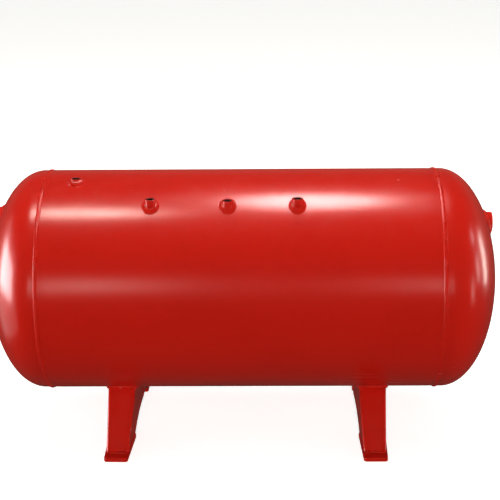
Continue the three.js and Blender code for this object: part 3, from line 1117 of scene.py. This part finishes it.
studio = {
    "domeRadius": 26.0,
    "floorRadius": 24.0,
    "floorColour": (0.80, 0.80, 0.795),
    "glow": 1.05,            # light that the pale floor and backdrop give off themselves
    "backdrop": 1.3,
    "roughness": 0.75,
    "mottle": 0.1,
    "mottleSize": 3.0,
    "specular": 0.2,
    "aroundSteps": 96,
    "domeRows": 12,
    "domeDip": 0.05,         # how far the dome's rim reaches below the floor, in radians
    # how bright the room is, seen from the tank: (height of the direction, from -1 to 1, and tone)
    "room": [(-0.90, 0.07), (-0.50, 0.05), (-0.16, 0.06), (-0.06, 0.09), (0.16, 0.15), (0.34, 0.08),
             (0.80, 0.08), (1.0, 0.14)],
    "warmth": (1.0, 0.95, 0.78),
}
lamps = {
    "ceilingLamp": {"size": (0.42, 0.46), "place": (0.17, 0.20, 1.66), "aim": (0.17, 0.20, 0.0),
                    "power": 11.5, "colour": (1.0, 0.96, 0.93), "shape": "ELLIPSE"},
    "ceilingGlow": {"size": (1.5, 0.5), "place": (0.10, 0.16, 1.70), "aim": (0.10, 0.16, 0.0),
                    "power": 0.7, "colour": (1.0, 0.93, 0.82), "shape": "ELLIPSE"},
    "cornerLamp": {"size": (0.46, 0.22), "place": (-0.49, -0.12, 1.66), "aim": (-0.49, -0.12, 0.0),
                   "power": 6.0, "colour": (1.0, 0.90, 0.80), "shape": "ELLIPSE"},
    "leftDoor": {"size": (0.53, 0.9), "place": (-0.90, -4.0, 1.15), "aim": (-0.90, 0.0, 1.15),
                 "power": 8.0, "colour": (1.0, 0.93, 0.86)},
    "rightDoor": {"size": (0.43, 0.9), "place": (0.95, -4.0, 1.15), "aim": (0.95, 0.0, 1.15),
                  "power": 4.2, "colour": (1.0, 0.93, 0.86)},
    "leftWindow": {"size": (1.55, 1.0), "place": (-2.6, 0.02, 0.42), "aim": (0.0, 0.02, 0.42),
                   "power": 60, "colour": (1.0, 0.98, 1.0)},
    "leftGlow": {"size": (2.8, 2.8), "place": (-2.8, 0.0, 0.1), "aim": (0.0, 0.0, 0.1),
                 "power": 26, "colour": (1.0, 0.90, 0.86)},
    "rightWindow": {"size": (0.26, 0.9), "place": (2.6, 1.15, 0.25), "aim": (0.0, 0.5, 0.25),
                    "power": 10, "colour": (1.0, 0.93, 0.84)},
    "rightLamp": {"size": (0.3, 0.5), "place": (2.6, 0.25, 0.40), "aim": (0.0, 0.0, 0.4),
                  "power": 2.6, "colour": (1.0, 0.90, 0.86)},
    "rightHighLamp": {"size": (0.3, 0.3), "place": (2.6, 0.32, 1.2), "aim": (0.0, 0.0, 0.4),
                      "power": 2.0, "colour": (1.0, 0.88, 0.88), "shape": "ELLIPSE"},
    "rightLowLamp": {"size": (0.24, 0.5), "place": (2.6, -0.5, 0.12), "aim": (0.0, 0.0, 0.3),
                     "power": 2.0, "colour": (1.0, 0.90, 0.84)},
    "overheadFill": {"size": (3.6, 2.2), "place": (0.0, 0.65, 3.3), "aim": (0.0, 0.0, 0.31),
                     "power": 82, "colour": (1.0, 0.97, 0.90), "fill": True},
    "frontFill": {"size": (5.0, 3.4), "place": (0.0, -4.0, 0.25), "aim": (0.0, 0.0, 0.25),
                  "power": 68, "colour": (1.0, 0.97, 0.92), "fill": True},
    "backFill": {"size": (5.0, 3.4), "place": (0.0, 4.0, 0.25), "aim": (0.0, 0.0, 0.25),
                 "power": 45, "colour": (1.0, 0.97, 0.92), "fill": True},
    "highFill": {"size": (4.0, 1.6), "place": (0.0, -3.2, 2.3), "aim": (0.0, 0.0, 0.31),
                 "power": 12, "colour": (1.0, 0.97, 0.92), "fill": True},
    "leftFill": {"size": (1.4, 1.4), "place": (-3.0, -0.6, 0.4), "aim": (0.0, 0.0, 0.31),
                 "power": 30, "colour": (1.0, 0.97, 0.92), "fill": True},
    "rightFill": {"size": (1.4, 1.4), "place": (3.0, -0.6, 0.4), "aim": (0.0, 0.0, 0.31),
                  "power": 25, "colour": (1.0, 0.97, 0.92), "fill": True},
}


def addLamp(name):
    lamp = lamps[name]
    data = bpy.data.lights.new(name, "AREA")
    data.shape = lamp.get("shape", "RECTANGLE")
    data.size, data.size_y = lamp["size"]
    data.energy = lamp["power"]
    data.color = lamp["colour"]
    made = bpy.data.objects.new(name, data)
    bpy.context.scene.collection.objects.link(made)
    made.location = lamp["place"]
    aim = Vector(lamp["aim"]) - Vector(lamp["place"])
    made.rotation_euler = aim.to_track_quat("-Z", "Y").to_euler()
    made.visible_camera = False
    # a fill only lights the paint, and any other lamp is only mirrored in it
    fill = lamp.get("fill", False)
    made.visible_diffuse = fill
    made.visible_glossy = not fill
    data.cycles.use_multiple_importance_sampling = not fill


def paleSurface(name, glow):
    material, tree = newMaterial(name)
    rough = studio["roughness"] + studio["mottle"] * tree.noise(studio["mottleSize"], 2.0)
    shader = tree.node("ShaderNodeBsdfPrincipled", {}, {
        "Base Color": opaque(studio["floorColour"]), "Roughness": rough,
        "Specular IOR Level": studio["specular"],
        "Emission Color": opaque(studio["floorColour"]), "Emission Strength": glow})
    tree.node("ShaderNodeOutputMaterial", {}, {"Surface": shader.out(0)})
    return material


def onlySeen(stagePiece):
    # the camera sees the stage, which neither lights nor shades the tank
    stagePiece.visible_diffuse = False
    stagePiece.visible_glossy = False
    stagePiece.visible_shadow = False


def buildFloor():
    around = studio["aroundSteps"]
    rim = []
    for step in range(around):
        turn = 2 * math.pi * step / around
        rim.append(Vector((math.cos(turn), math.sin(turn), 0)))
    points = [floorZ * Vector((0, 0, 1)) + studio["floorRadius"] * point for point in rim]
    pale = paleSurface("paleFloor", studio["glow"])
    floor = addPiece("studioFloor", points, [tuple(range(around))], [pale], turnFacesOut=False)
    onlySeen(floor)
    domeRows = studio["domeRows"]
    points = []
    for row in range(domeRows):
        rise = math.pi / 2 * row / domeRows - studio["domeDip"]
        for point in rim:
            up = Vector((0, 0, math.sin(rise)))
            points.append(studio["domeRadius"] * (math.cos(rise) * point + up))
    points.append(Vector((0, 0, studio["domeRadius"])))
    faces = bandFaces(domeRows, around, False, True)
    faces += tipFaces(domeRows - 1, around, len(points) - 1)
    dome = addPiece("studioBackdrop", points, faces, [paleSurface("paleBackdrop", studio["backdrop"])],
                    turnFacesOut=False)
    onlySeen(dome)


def lightSky():
    world = bpy.data.worlds.new("softRoom")
    bpy.context.scene.world = world
    world.use_nodes = True
    tree = ShaderTree(world.node_tree)
    direction = tree.node("ShaderNodeTexCoord").out("Generated")
    rise = tree.node("ShaderNodeSeparateXYZ", {}, {0: direction}).out(2)
    stops = [(height / 2 + 0.5, tuple(tone * share for share in studio["warmth"]))
             for height, tone in studio["room"]]
    tone = tree.node("ShaderNodeValToRGB", {"stops": stops}, {0: rise * 0.5 + 0.5}).out(0)
    sky = tree.node("ShaderNodeBackground", {}, {"Color": tone, "Strength": 1.0})
    tree.node("ShaderNodeOutputWorld", {}, {"Surface": sky.out(0)})


placeCamera()
buildFloor()
lightSky()
for name in lamps:
    addLamp(name)
bpy.context.scene.view_settings.view_transform = "Standard"
print("studio lit")
